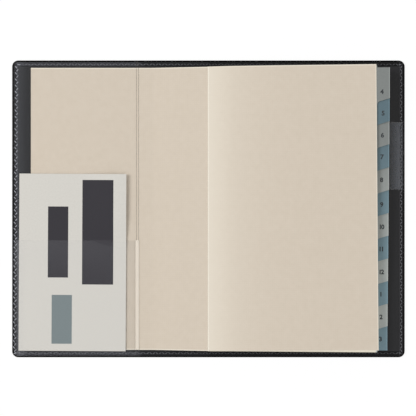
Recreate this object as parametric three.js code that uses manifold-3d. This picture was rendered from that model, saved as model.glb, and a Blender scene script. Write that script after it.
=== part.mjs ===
// Pocket planner lying open at its front flyleaf, in millimetres, +Z up.
// The origin is on the surface that it lies on, under the middle of the open cover.
// +X points to the fore-edge of the pages and +Y to their head.

import * as THREE from 'three';
import { mergeVertices } from 'three/addons/utils/BufferGeometryUtils.js';
import Module from 'manifold-3d';

const wasm = await Module();
wasm.setup();

// Cover, welded from an outer skin, boards and a lining
const foreEdgeMargin = 9.5;
const headMargin = 3.95;
const coverCorner = 3.2;
const skinThickness = 0.6;
const boardThickness = 0.6;
const liningThickness = 0.4;
const rimWidth = 3.0;
const rimGap = 0.3;
const layerGap = 0.05;
const spineWidth = 10.8;
const foldSlit = 0.1;

// Clear films welded on the inside of the cover
const filmThickness = 0.15;
const filmInset = 0.95;
const filmCorner = 2.4;
const filmGap = 0.04;
const weldGap = 0.03;
const sideWeld = 1.75;
const pocketHeight = 59.4;
const pocketSlack = 4.64;
const pocketSideWeld = 2.3;
const pocketFootWeld = 2.05;
const pocketMouthWeld = 2.0;
const bandHeight = 34.7;
const bandWidth = 60.15;
const bandCentreY = 27.2;

// Contact card in the front pocket
const cardWidth = 55.0;
const cardHeight = 91.0;
const cardThickness = 0.4;
const cardTilt = 0.32;
const cardClearance = 0.3;

// Leaves
const pageHeight = 145.0;
const pageWidth = 85.3;
const leafThickness = 0.12;
const leafClearance = 0.6;
const flyleafWidth = 85.4;
const flyleafTilt = 0.45;
const endLeafBow = 0.3;
const endLeafTuck = 2.6;
const endLeafShoulder = 6.0;
const endLeafReach = 12.0;
const endLeafDrop = 0.9;

// Month sections, each with its step of the index on the fore-edge
const monthNames = ['april', 'may', 'june', 'july', 'august', 'september',
  'october', 'november', 'december', 'january', 'february', 'march'];
const tabWidth = 6.3;
const firstTabHeight = 17.5;
const tabSlant = 1.9;
const tabFillet = 1.5;
const stripHeadGap = 1.0;
const sheetGap = 0.04;
const monthAtSpine = 0.29;
const monthAtForeEdge = 0.6;
const notesAtSpine = 0.55;
const notesAtForeEdge = 1.3;

// Binding at the spine of the text block
const glueThickness = 0.25;
const gauzeThickness = 0.2;
const bindingGap = 0.05;
const bindingInset = 0.5;

// Levels and places worked out from the sizes above
const coverThickness = skinThickness + layerGap + boardThickness + layerGap + liningThickness;
const fullWidth = pageWidth + tabWidth;
const halfWidth = fullWidth + foreEdgeMargin;
const halfHeight = pageHeight / 2 + headMargin;
const foldX = spineWidth / 2;
const leafBottom = coverThickness + layerGap;
const filmBottom = leafBottom + leafThickness + layerGap;
const filmTop = filmBottom + filmThickness;
const weldHalfHeight = pageHeight / 2 + leafClearance;
const filmEdgeX = halfWidth - filmInset;
const filmEdgeY = halfHeight - filmInset;
const cardTurn = THREE.MathUtils.degToRad(cardTilt);
const cardSpanX = cardWidth * Math.cos(cardTurn) + cardHeight * Math.sin(cardTurn);
const cardSpanY = cardHeight * Math.cos(cardTurn) + cardWidth * Math.sin(cardTurn);
const cardEdgeX = -filmEdgeX + pocketSideWeld + cardClearance;
const cardEdgeY = -filmEdgeY + pocketFootWeld + cardClearance;
const mouthX = cardEdgeX + cardSpanX + pocketSlack + pocketMouthWeld;
const blockBottom = filmTop + layerGap;
const blockStartX = glueThickness + 2 * bindingGap;
const flyleafAtSpine = blockBottom + notesAtSpine + sheetGap
  + monthNames.length * (monthAtSpine + sheetGap);
const flyleafAtForeEdge = blockBottom + notesAtForeEdge + sheetGap
  + monthNames.length * (monthAtForeEdge + sheetGap);

// Steps of the rounded corners and bends, and how far a cut runs past its piece
const cornerSteps = 6;
const bendSteps = 8;
const cutOver = 1.0;

const planner = new THREE.Group();

// Materials
function finish(color, roughness, options = {}) {
  return new THREE.MeshStandardMaterial({ color, roughness, metalness: 0, ...options });
}

const vinyl = finish(0x1b1b1e, 0.45);
const board = finish(0x8a8378, 0.9);
const lining = finish(0x26272a, 0.5);
const film = finish(0xe6eaec, 0.2, { transparent: true, opacity: 0.3 });
const creamPaper = finish(0xd6c9b6, 0.85);
const textPaper = finish(0xe4dcc8, 0.85);
const greyTab = finish(0x8a9290, 0.8);
const blueTab = finish(0x67808a, 0.8);
const cardStock = finish(0xdedbd4, 0.6);
const glue = finish(0xd9cfb4, 0.4);
const gauze = finish(0xe8e4d8, 0.95);

// Joining and cutting of closed meshes
function toSolid(geometry) {
  const bare = geometry.index ? geometry.toNonIndexed() : geometry.clone();
  bare.deleteAttribute('normal');
  bare.deleteAttribute('uv');
  const merged = mergeVertices(bare, 1e-4);
  return new wasm.Manifold(new wasm.Mesh({
    numProp: 3,
    vertProperties: new Float32Array(merged.attributes.position.array),
    triVerts: new Uint32Array(merged.index.array),
  }));
}

function toGeometry(solid) {
  const mesh = solid.getMesh();
  const geometry = new THREE.BufferGeometry();
  geometry.setAttribute('position', new THREE.BufferAttribute(mesh.vertProperties, 3));
  geometry.setIndex(new THREE.BufferAttribute(mesh.triVerts, 1));
  geometry.computeVertexNormals();
  return geometry;
}

function addPiece(name, geometry, material) {
  const mesh = new THREE.Mesh(geometry, material);
  mesh.name = name;
  planner.add(mesh);
  return mesh;
}

// A flat slab from an outline in plan
function slab(outline, bottom, top) {
  const geometry = new THREE.ExtrudeGeometry(outline, {
    depth: top - bottom, bevelEnabled: false, curveSegments: cornerSteps,
  });
  return geometry.translate(0, 0, bottom);
}

// A sheet from a section in X and Z, drawn out along Y about the middle
function drawnSheet(section, height) {
  const geometry = new THREE.ExtrudeGeometry(section, {
    depth: height, bevelEnabled: false, curveSegments: bendSteps,
  });
  return geometry.rotateX(Math.PI / 2).translate(0, height / 2, 0);
}

// A rectangle in plan whose corners at one end, left (-1) or right (1), are rounded
function panelOutline(x0, x1, y0, y1, radius, roundEnd) {
  const outline = new THREE.Shape();
  if (roundEnd > 0) {
    outline.moveTo(x0, y0);
    outline.lineTo(x1 - radius, y0);
    outline.absarc(x1 - radius, y0 + radius, radius, -Math.PI / 2, 0, false);
    outline.absarc(x1 - radius, y1 - radius, radius, 0, Math.PI / 2, false);
    outline.lineTo(x0, y1);
  } else {
    outline.moveTo(x1, y1);
    outline.lineTo(x0 + radius, y1);
    outline.absarc(x0 + radius, y1 - radius, radius, Math.PI / 2, Math.PI, false);
    outline.absarc(x0 + radius, y0 + radius, radius, Math.PI, 1.5 * Math.PI, false);
    outline.lineTo(x1, y0);
  }
  outline.closePath();
  return outline;
}

function rectangle(x0, x1, y0, y1) {
  const outline = new THREE.Shape();
  outline.moveTo(x0, y0);
  outline.lineTo(x1, y0);
  outline.lineTo(x1, y1);
  outline.lineTo(x0, y1);
  outline.closePath();
  return outline;
}

// Cover panels: a skin with a raised welded rim, a board in it and a lining over that
function addPanel(side, label) {
  const ends = [side * (foldX + foldSlit / 2), side * halfWidth];
  const [x0, x1] = ends[0] < ends[1] ? ends : [ends[1], ends[0]];
  const skin = toSolid(slab(
    panelOutline(x0, x1, -halfHeight, halfHeight, coverCorner, side), 0, coverThickness));
  const inner = [ends[0] - side * cutOver, side * (halfWidth - rimWidth)].sort((a, b) => a - b);
  const recess = toSolid(slab(
    rectangle(inner[0], inner[1], -halfHeight + rimWidth, halfHeight - rimWidth),
    skinThickness, coverThickness + cutOver));
  addPiece(`${label}_cover_skin`, toGeometry(skin.subtract(recess)), vinyl);
  const core = [ends[0], side * (halfWidth - rimWidth - rimGap)].sort((a, b) => a - b);
  const coreHalf = halfHeight - rimWidth - rimGap;
  const outline = rectangle(core[0], core[1], -coreHalf, coreHalf);
  const boardBottom = skinThickness + layerGap;
  const liningBottom = boardBottom + boardThickness + layerGap;
  addPiece(`${label}_cover_board`, slab(outline, boardBottom, boardBottom + boardThickness), board);
  addPiece(`${label}_cover_lining`, slab(outline, liningBottom, coverThickness), lining);
}

function addSpine() {
  const half = foldX - foldSlit / 2;
  const strip = toSolid(slab(
    rectangle(-half, half, -halfHeight, halfHeight), 0, coverThickness));
  const recess = toSolid(slab(
    rectangle(-foldX, foldX, -halfHeight + rimWidth, halfHeight - rimWidth),
    skinThickness, coverThickness + cutOver));
  addPiece('spine_skin', toGeometry(strip.subtract(recess)), vinyl);
  const liningHalf = halfHeight - rimWidth - rimGap;
  const liningBottom = coverThickness - liningThickness;
  addPiece('spine_lining', slab(
    rectangle(-half, half, -liningHalf, liningHalf), liningBottom, coverThickness), lining);
}

// A film with a skirt along its welded edges
function addFilm(name, outer, open, bottom, skirtBottom) {
  const whole = toSolid(slab(outer, skirtBottom, bottom + filmThickness));
  const hollow = toSolid(slab(open, skirtBottom - cutOver, bottom));
  addPiece(name, toGeometry(whole.subtract(hollow)), film);
}

function addFilms() {
  addFilm('front_sleeve',
    panelOutline(-filmEdgeX, mouthX, -filmEdgeY, filmEdgeY, filmCorner, -1),
    rectangle(-filmEdgeX + sideWeld, mouthX + cutOver, -weldHalfHeight, weldHalfHeight),
    filmBottom, coverThickness + weldGap);
  addFilm('card_pocket',
    panelOutline(-filmEdgeX, mouthX, -filmEdgeY, -filmEdgeY + pocketHeight, filmCorner, -1),
    rectangle(-filmEdgeX + pocketSideWeld, mouthX - pocketMouthWeld,
      -filmEdgeY + pocketFootWeld, -filmEdgeY + pocketHeight + cutOver),
    filmTop + filmGap + cardThickness + filmGap, filmTop + weldGap);
  addFilm('back_band',
    rectangle(filmEdgeX - bandWidth, filmEdgeX,
      bandCentreY - bandHeight / 2, bandCentreY + bandHeight / 2),
    rectangle(filmEdgeX - bandWidth - cutOver, filmEdgeX - sideWeld,
      bandCentreY - bandHeight, bandCentreY + bandHeight),
    filmBottom, coverThickness + weldGap);
}

// The card lies a little askew in the lower outer corner of its pocket
function addCard() {
  const bottom = filmTop + filmGap;
  const card = addPiece('contact_card', slab(
    rectangle(-cardWidth / 2, cardWidth / 2, -cardHeight / 2, cardHeight / 2),
    bottom, bottom + cardThickness), cardStock);
  card.position.set(cardEdgeX + cardSpanX / 2, cardEdgeY + cardSpanY / 2, 0);
  card.rotation.z = -cardTurn;
}

// The front end leaf: a flat part in the sleeve and a sloping part up to the fold
function addEndLeaf() {
  const innerX = mouthX - endLeafTuck;
  const outerX = -fullWidth + endLeafBow;
  addPiece('front_end_leaf', slab(
    rectangle(outerX, innerX, -pageHeight / 2, pageHeight / 2),
    leafBottom, leafBottom + leafThickness), creamPaper);
  const foldZ = flyleafAtSpine - sheetGap;
  const section = new THREE.Shape();
  section.moveTo(innerX + layerGap, leafBottom);
  section.lineTo(mouthX, leafBottom);
  section.bezierCurveTo(mouthX + endLeafShoulder, leafBottom,
    -endLeafReach, foldZ - endLeafDrop - leafThickness, 0, foldZ - leafThickness);
  section.lineTo(0, foldZ);
  section.bezierCurveTo(-endLeafReach, foldZ - endLeafDrop,
    mouthX + endLeafShoulder, leafBottom + leafThickness, mouthX, leafBottom + leafThickness);
  section.lineTo(innerX + layerGap, leafBottom + leafThickness);
  section.closePath();
  addPiece('front_end_leaf_slope', drawnSheet(section, pageHeight), creamPaper);
}

// A wedge that is thinner at the spine than at the fore-edge
function wedge(startX, spineBottom, spineTop, foreBottom, foreTop) {
  const section = new THREE.Shape();
  section.moveTo(startX, spineBottom);
  section.lineTo(fullWidth, foreBottom);
  section.lineTo(fullWidth, foreTop);
  section.lineTo(startX, spineTop);
  section.closePath();
  return toSolid(drawnSheet(section, 2 * halfHeight));
}

// A page outline whose index strip ends in a slanted cut, with a round inner corner
function pageOutline(stripEnd, slant) {
  const half = pageHeight / 2;
  const outline = new THREE.Shape();
  outline.moveTo(blockStartX, -half);
  if (stripEnd > -half) {
    outline.lineTo(pageWidth, -half);
    outline.lineTo(pageWidth, stripEnd - slant / 2 - tabFillet);
    outline.quadraticCurveTo(pageWidth, stripEnd - slant / 2,
      pageWidth + tabFillet, stripEnd - slant / 2 + slant * tabFillet / tabWidth);
    outline.lineTo(fullWidth, stripEnd + slant / 2);
  } else {
    outline.lineTo(fullWidth, -half);
  }
  outline.lineTo(fullWidth, half - stripHeadGap);
  outline.lineTo(pageWidth, half - stripHeadGap);
  outline.lineTo(pageWidth, half);
  outline.lineTo(blockStartX, half);
  outline.closePath();
  return outline;
}

function addSections() {
  const blockTop = flyleafAtForeEdge + cutOver;
  const tabPitch = (pageHeight - firstTabHeight) / (monthNames.length - 1);
  let spineZ = blockBottom;
  let foreZ = blockBottom;
  const notes = toSolid(slab(pageOutline(-pageHeight, 0), 0, blockTop))
    .intersect(wedge(0, spineZ, spineZ + notesAtSpine, foreZ, foreZ + notesAtForeEdge));
  addPiece('notes_section', toGeometry(notes), textPaper);
  spineZ += notesAtSpine + sheetGap;
  foreZ += notesAtForeEdge + sheetGap;
  for (let month = monthNames.length - 1; month >= 0; month -= 1) {
    const isLast = month === monthNames.length - 1;
    const stripEnd = pageHeight / 2 - firstTabHeight - month * tabPitch;
    const outline = pageOutline(isLast ? -pageHeight : stripEnd, tabSlant);
    const section = toSolid(slab(outline, 0, blockTop)).intersect(
      wedge(0, spineZ, spineZ + monthAtSpine, foreZ, foreZ + monthAtForeEdge));
    addPiece(`${monthNames[month]}_section`, toGeometry(section), month % 2 ? blueTab : greyTab);
    spineZ += monthAtSpine + sheetGap;
    foreZ += monthAtForeEdge + sheetGap;
  }
}

// The flyleaf lies a little turned on the block, so its fore-edge runs out at the foot
function addFlyleaf() {
  const tilt = THREE.MathUtils.degToRad(flyleafTilt);
  const half = pageHeight / 2;
  const outline = new THREE.Shape();
  const lift = flyleafWidth * Math.sin(tilt);
  outline.moveTo(bindingGap, -half);
  outline.lineTo(flyleafWidth + half * Math.sin(tilt), -half + lift);
  outline.lineTo(flyleafWidth - half * Math.sin(tilt), half + lift);
  outline.lineTo(bindingGap, half);
  outline.closePath();
  const leaf = toSolid(slab(outline, 0, flyleafAtForeEdge + cutOver)).intersect(
    wedge(0, flyleafAtSpine, flyleafAtSpine + leafThickness,
      flyleafAtForeEdge, flyleafAtForeEdge + leafThickness));
  addPiece('flyleaf', toGeometry(leaf), creamPaper);
}

function addBackLeafAndBinding() {
  addPiece('back_end_leaf', slab(
    rectangle(blockStartX, fullWidth, -pageHeight / 2, pageHeight / 2),
    leafBottom, leafBottom + leafThickness), creamPaper);
  const bindingTop = flyleafAtSpine - 2 * sheetGap - leafThickness - bindingGap;
  const half = pageHeight / 2 - bindingInset;
  const glueStart = blockStartX - bindingGap - glueThickness;
  addPiece('binding_glue', slab(
    rectangle(glueStart, glueStart + glueThickness, -half, half),
    blockBottom, bindingTop), glue);
  const gauzeStart = glueStart - bindingGap - gauzeThickness;
  addPiece('spine_gauze', slab(
    rectangle(gauzeStart, gauzeStart + gauzeThickness, -half, half),
    blockBottom, bindingTop), gauze);
}

addPanel(1, 'back');
addPanel(-1, 'front');
addSpine();
addFilms();
addCard();
addEndLeaf();
addSections();
addFlyleaf();
addBackLeafAndBinding();

export default planner;
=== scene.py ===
"""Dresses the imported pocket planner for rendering, in metres, in the frame of the CAD.

The planner lies open at its front flyleaf. Each sub-assembly is a class that holds its sizes in
millimetres and builds its own pieces, and each finish is a small class that makes a material.
"""

import logging
import math
from dataclasses import dataclass
from enum import Enum
from typing import Any, Callable

import bmesh
import bpy
from mathutils import Matrix, Vector


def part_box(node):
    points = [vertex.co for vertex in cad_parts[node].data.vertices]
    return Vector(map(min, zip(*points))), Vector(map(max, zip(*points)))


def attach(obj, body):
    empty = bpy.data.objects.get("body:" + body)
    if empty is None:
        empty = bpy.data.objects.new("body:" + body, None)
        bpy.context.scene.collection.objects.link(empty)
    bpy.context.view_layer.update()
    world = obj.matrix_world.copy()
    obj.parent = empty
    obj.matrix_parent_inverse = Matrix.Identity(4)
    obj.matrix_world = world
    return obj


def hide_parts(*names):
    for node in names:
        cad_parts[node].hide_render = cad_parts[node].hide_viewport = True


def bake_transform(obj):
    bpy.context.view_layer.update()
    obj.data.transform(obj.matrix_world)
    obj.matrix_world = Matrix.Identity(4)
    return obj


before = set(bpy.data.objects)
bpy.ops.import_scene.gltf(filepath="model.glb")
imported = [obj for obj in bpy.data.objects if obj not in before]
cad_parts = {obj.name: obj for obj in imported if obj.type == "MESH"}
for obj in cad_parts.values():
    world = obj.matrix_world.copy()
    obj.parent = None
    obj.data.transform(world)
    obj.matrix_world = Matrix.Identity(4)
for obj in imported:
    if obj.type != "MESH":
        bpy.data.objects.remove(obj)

LOG = logging.getLogger("pocket_planner")
MM = 0.001

# Slack in comparing places, and how near a cut keeps to a corner, in millimetres
TINY = 1e-4
CUT_SNAP = 1e-5

# An edge that turns by more than this, in radians, is shaded sharp
SHARP_ANGLE = 0.6

# How far up the normal of a level face points, and of one that faces up at all
LEVEL = 0.999
RISING = 0.2

# A wave texture of scale 1 has its bands a full turn over this apart
WAVE_FACTOR = 20

VINYL_IOR = 1.52
FILM_IOR = 1.53
PAPER_IOR = 1.5


@dataclass(frozen=True)
class SolidBox:
    """The box round a CAD solid, in millimetres."""

    left: float
    right: float
    foot: float
    head: float
    low: float
    high: float


def solid_box(node: str) -> SolidBox:
    """Reads a CAD node's box from the frame, to the micrometre.

    Args:
        node: The node's name.

    Returns:
        Its box.
    """
    spans = [round(float(c) / MM, 3) for pair in zip(*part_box(node)) for c in pair]
    return SolidBox(*spans)


# The solids that the shown pieces are fitted to
SKIN = solid_box("back_cover_skin")
SLEEVE = solid_box("front_sleeve")
POCKET = solid_box("card_pocket")
BAND = solid_box("back_band")
CARD = solid_box("contact_card")
SLOPE = solid_box("front_end_leaf_slope")
NOTES = solid_box("notes_section")


class Grain(Enum):
    """What a pattern follows: the piece in its place, or the sheet as it was laid."""

    OBJECT = "object"
    LAID = "laid"


class Side(Enum):
    """The two halves of the open cover, by the sign of X."""

    FRONT = -1
    BACK = 1


class Tint(Enum):
    """The two printed tints of the index."""

    GREY = "#8f9391"
    BLUE = "#6a7f88"


def linear_colour(code: str) -> tuple[float, float, float, float]:
    """Turns an sRGB hex code into a linear colour.

    Args:
        code: The colour as #rrggbb.

    Returns:
        Red, green, blue and an alpha of 1.
    """
    channels = [int(code[i:i + 2], 16) / 255 for i in (1, 3, 5)]
    linear = [c / 12.92 if c <= 0.04045 else ((c + 0.055) / 1.055) ** 2.4 for c in channels]
    return (linear[0], linear[1], linear[2], 1.0)


def add_node(tree: bpy.types.NodeTree, kind: str, settings: dict[str, Any] | None = None,
             sockets: dict[str | int, Any] | None = None) -> bpy.types.Node:
    """Adds a node with its settings, socket values and links.

    Args:
        tree: The node tree that gets the node.
        kind: The node's Blender type name.
        settings: Properties of the node by name.
        sockets: Input sockets by name or index, each with a value or an output to link from.

    Returns:
        The new node.
    """
    node = tree.nodes.new(kind)
    for name, value in (settings or {}).items():
        setattr(node, name, value)
    for key, value in (sockets or {}).items():
        if isinstance(value, bpy.types.NodeSocket):
            tree.links.new(value, node.inputs[key])
        else:
            node.inputs[key].default_value = value
    return node


def millimetres(tree: bpy.types.NodeTree, grain: Grain) -> bpy.types.NodeSocket:
    """Gives the place on the piece in millimetres.

    Args:
        tree: The material's node tree.
        grain: What the pattern follows.

    Returns:
        A vector output in millimetres.
    """
    if grain is Grain.OBJECT:
        place = add_node(tree, "ShaderNodeTexCoord").outputs["Object"]
    else:
        place = add_node(tree, "ShaderNodeAttribute",
                         {"attribute_type": "GEOMETRY",
                          "attribute_name": grain.value}).outputs["Vector"]
    return add_node(tree, "ShaderNodeVectorMath", {"operation": "SCALE"},
                    {0: place, "Scale": 1 / MM}).outputs[0]


def mottled(tree: bpy.types.NodeTree, colour: bpy.types.NodeSocket | tuple[float, ...],
            clouds: dict[str, Any], low: float, high: float) -> bpy.types.NodeSocket:
    """Makes a colour darker and paler in soft clouds, as fibres and wear do.

    Args:
        tree: The material's node tree.
        colour: The colour to vary.
        clouds: The place, scale and detail of the noise.
        low: The brightness where the noise is lowest.
        high: The brightness where the noise is highest.

    Returns:
        The varied colour.
    """
    noise = add_node(tree, "ShaderNodeTexNoise", None, clouds).outputs["Fac"]
    shade = add_node(tree, "ShaderNodeMapRange", None,
                     {"Value": noise, "To Min": low, "To Max": high}).outputs[0]
    return add_node(tree, "ShaderNodeVectorMath", {"operation": "SCALE"},
                    {0: colour, "Scale": shade}).outputs[0]


def wave_scale(pitch: float) -> float:
    """Gives the scale at which a wave texture's bands stand a pitch in millimetres apart."""
    return math.tau / WAVE_FACTOR / pitch


@dataclass(frozen=True)
class Finish:
    """What all finishes share: each adds its own shader to a new material."""

    def build(self, name: str) -> bpy.types.Material:
        """Builds the finish as a material.

        Args:
            name: The material's name.

        Returns:
            The material.
        """
        material = bpy.data.materials.new(name)
        material.use_nodes = True
        tree = material.node_tree
        tree.nodes.clear()
        add_node(tree, "ShaderNodeOutputMaterial", None, {"Surface": self.shader(tree)})
        return material

    def shader(self, tree: bpy.types.NodeTree) -> bpy.types.NodeSocket:
        """Adds the finish's own nodes.

        Args:
            tree: The material's empty node tree.

        Returns:
            The shader that the surface shows.
        """
        raise NotImplementedError


@dataclass(frozen=True)
class GrainedVinyl(Finish):
    """Calendered PVC, embossed with a leather grain and welded at a tool-polished rim."""

    shine: float = 0.16
    panel: str = "#1c1c1f"
    border: str = "#121214"
    bare_border: str = "#1f1f22"
    # Colour of the weld along the side; on the back it is paler, painted light where the lamp
    # from the left catches the rim
    side_border: str = "#2c2c2e"
    sleeve_fade: tuple[float, float] = (68.0, 64.0)
    weld_width: float = 3.0
    rim: str = "#020202"
    rim_fade: tuple[float, float] = (1.25, 0.85)
    # Painted highlight along the raised ridge inside the rim, where light from the left catches
    # it
    ridge: str = "#404144"
    ridge_inset: float = 2.83
    ridge_reach: float = 0.2
    ridge_foot: float = 1.0
    ridge_fade: tuple[float, float] = (-30.0, 15.0)
    cloud_size: float = 8.33
    grain_size: float = 0.75
    grain_depth: float = 0.03

    def shader(self, tree: bpy.types.NodeTree) -> bpy.types.NodeSocket:
        """Adds the vinyl: a satin black with a fine grain, glossier and darker at the rim.

        Args:
            tree: The material's empty node tree.

        Returns:
            The vinyl's shader.
        """
        place = millimetres(tree, Grain.LAID)
        axes = add_node(tree, "ShaderNodeSeparateXYZ", None, {0: place})
        gaps = []
        for axis, half in (("X", SKIN.right), ("Y", SKIN.head)):
            reach = add_node(tree, "ShaderNodeMath", {"operation": "ABSOLUTE"},
                             {0: axes.outputs[axis]}).outputs[0]
            gaps.append(add_node(tree, "ShaderNodeMath", {"operation": "SUBTRACT"},
                                 {0: half, 1: reach}).outputs[0])
        inset = add_node(tree, "ShaderNodeMath", {"operation": "MINIMUM"},
                         {0: gaps[0], 1: gaps[1]}).outputs[0]
        rim = add_node(tree, "ShaderNodeMapRange", {"interpolation_type": "SMOOTHSTEP"},
                       {"Value": inset, "From Min": self.rim_fade[0],
                        "From Max": self.rim_fade[1]}).outputs[0]
        flat = add_node(tree, "ShaderNodeMath", {"operation": "LESS_THAN"},
                        {0: inset, 1: self.weld_width}).outputs[0]
        colour = linear_colour(self.panel)
        for share, over in ((flat, self._border(tree, gaps)),
                            (self._ridge_highlight(tree, gaps[0], axes.outputs["Y"]),
                             linear_colour(self.ridge)),
                            (rim, linear_colour(self.rim))):
            colour = add_node(tree, "ShaderNodeMix", {"data_type": "RGBA"},
                              {0: share, 6: colour, 7: over}).outputs[2]
        clouded = mottled(tree, colour, {"Vector": place, "Scale": 1 / self.cloud_size,
                                         "Detail": 4.0, "Roughness": 0.6}, low=0.7, high=1.3)
        cells = add_node(tree, "ShaderNodeTexVoronoi", {"feature": "DISTANCE_TO_EDGE"},
                         {"Vector": place, "Scale": 1 / self.grain_size})
        crease = add_node(tree, "ShaderNodeMapRange", None,
                          {"Value": cells.outputs["Distance"], "From Max": 0.25}).outputs[0]
        bump = add_node(tree, "ShaderNodeBump", None,
                        {"Strength": 0.35, "Distance": self.grain_depth * MM, "Height": crease})
        rough = add_node(tree, "ShaderNodeMapRange", None,
                         {"Value": rim, "To Min": 0.46, "To Max": 0.34}).outputs[0]
        return add_node(tree, "ShaderNodeBsdfPrincipled", None,
                        {"Base Color": clouded, "Roughness": rough, "Normal": bump.outputs[0],
                         "IOR": VINYL_IOR, "Specular IOR Level": self.shine}).outputs[0]

    def _border(self, tree: bpy.types.NodeTree,
                gaps: list[bpy.types.NodeSocket]) -> bpy.types.NodeSocket:
        """Adds the weld's colours: at the side, under the sleeve's edge and where it is bare.

        Args:
            tree: The material's node tree.
            gaps: The distances from the cover's edges, across and along.

        Returns:
            The border's colour.
        """
        # On the back the side colour is paler, painted light where the lamp from the left catches
        # the rim
        beside = add_node(tree, "ShaderNodeMath", {"operation": "LESS_THAN"},
                          {0: gaps[0], 1: gaps[1]}).outputs[0]
        sleeved = add_node(tree, "ShaderNodeMapRange", None,
                           {"Value": gaps[0], "From Min": self.sleeve_fade[0],
                            "From Max": self.sleeve_fade[1]}).outputs[0]
        colour = linear_colour(self.bare_border)
        for share, over in ((sleeved, self.border), (beside, self.side_border)):
            colour = add_node(tree, "ShaderNodeMix", {"data_type": "RGBA"},
                              {0: share, 6: colour, 7: linear_colour(over)}).outputs[2]
        return colour

    def _ridge_highlight(self, tree: bpy.types.NodeTree, gap: bpy.types.NodeSocket,
               height: bpy.types.NodeSocket) -> bpy.types.NodeSocket:
        """Adds a painted highlight along the tool's raised ridge, where light from the left
        catches it; it may fade to the foot.

        Args:
            tree: The material's node tree.
            gap: The distance from the cover's side.
            height: The place along the cover's side.

        Returns:
            How strongly the painted highlight shows.
        """
        raised = add_node(tree, "ShaderNodeMath", {"operation": "COMPARE"},
                          {0: gap, 1: self.ridge_inset, 2: self.ridge_reach}).outputs[0]
        lasting = add_node(tree, "ShaderNodeMapRange", None,
                           {"Value": height, "From Min": self.ridge_fade[0],
                            "From Max": self.ridge_fade[1],
                            "To Min": self.ridge_foot}).outputs[0]
        return add_node(tree, "ShaderNodeMath", {"operation": "MULTIPLY"},
                        {0: raised, 1: lasting}).outputs[0]


@dataclass(frozen=True)
class MouldedStitch(Finish):
    """The imitation stitches of the rim, pressed into the PVC by the welding tool."""

    colour: str = "#66676c"
    across_fade: tuple[float, float] = (-45.0, 5.0)
    back_tone: float = 0.45
    side_fade: tuple[float, float] = (96.0, 97.5)
    front_side_tone: float = 2.9
    back_side_tone: float = 1.1
    rub_size: float = 2.0

    def shader(self, tree: bpy.types.NodeTree) -> bpy.types.NodeSocket:
        """Adds the stitches: the same vinyl, darker on the back half and paler in the two outer
        side columns, in patches.

        Args:
            tree: The material's empty node tree.

        Returns:
            The stitches' shader.
        """
        place = millimetres(tree, Grain.LAID)
        across = add_node(tree, "ShaderNodeSeparateXYZ", None, {0: place}).outputs["X"]
        toned = add_node(tree, "ShaderNodeMapRange", None,
                        {"Value": across, "From Min": self.across_fade[0],
                         "From Max": self.across_fade[1], "To Min": 1.0,
                         "To Max": self.back_tone}).outputs[0]
        for sign, wear in ((-1, self.front_side_tone), (1, self.back_side_tone)):
            held = add_node(tree, "ShaderNodeMapRange", None,
                            {"Value": across, "From Min": sign * self.side_fade[0],
                             "From Max": sign * self.side_fade[1], "To Max": wear}).outputs[0]
            toned = add_node(tree, "ShaderNodeMath", {"operation": "MAXIMUM"},
                            {0: toned, 1: held}).outputs[0]
        patchy = mottled(tree, linear_colour(self.colour)[:3],
                         {"Vector": place, "Scale": 1 / self.rub_size}, low=0.45, high=1.45)
        colour = add_node(tree, "ShaderNodeVectorMath", {"operation": "SCALE"},
                          {0: patchy, "Scale": toned}).outputs[0]
        return add_node(tree, "ShaderNodeBsdfPrincipled", None,
                        {"Base Color": colour, "Roughness": 0.45, "IOR": VINYL_IOR,
                         "Specular IOR Level": 0.2}).outputs[0]


@dataclass(frozen=True)
class SmoothVinyl(Finish):
    """Calendered PVC lining sheet with a satin face."""

    colour: str = "#232325"
    drag_size: float = 0.625
    drag_draw: tuple[float, float, float] = (0.5, 0.02, 0.5)
    pebble_size: float = 0.455
    pebble_depth: float = 0.02

    def shader(self, tree: bpy.types.NodeTree) -> bpy.types.NodeSocket:
        """Adds the lining: a smooth charcoal sheet with faint drag lines from the calender.

        Args:
            tree: The material's empty node tree.

        Returns:
            The lining's shader.
        """
        place = millimetres(tree, Grain.LAID)
        drawn = add_node(tree, "ShaderNodeVectorMath", {"operation": "MULTIPLY"},
                         {0: place, 1: self.drag_draw}).outputs[0]
        colour = mottled(tree, linear_colour(self.colour)[:3],
                         {"Vector": drawn, "Scale": 1 / self.drag_size, "Detail": 3.0},
                         low=0.8, high=1.2)
        pebble = add_node(tree, "ShaderNodeTexNoise", None,
                          {"Vector": place, "Scale": 1 / self.pebble_size, "Detail": 2.0})
        bump = add_node(tree, "ShaderNodeBump", None,
                        {"Strength": 0.2, "Distance": self.pebble_depth * MM,
                         "Height": pebble.outputs["Fac"]})
        return add_node(tree, "ShaderNodeBsdfPrincipled", None,
                        {"Base Color": colour, "Roughness": 0.5, "Normal": bump.outputs[0],
                         "IOR": VINYL_IOR, "Specular IOR Level": 0.25}).outputs[0]


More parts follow.
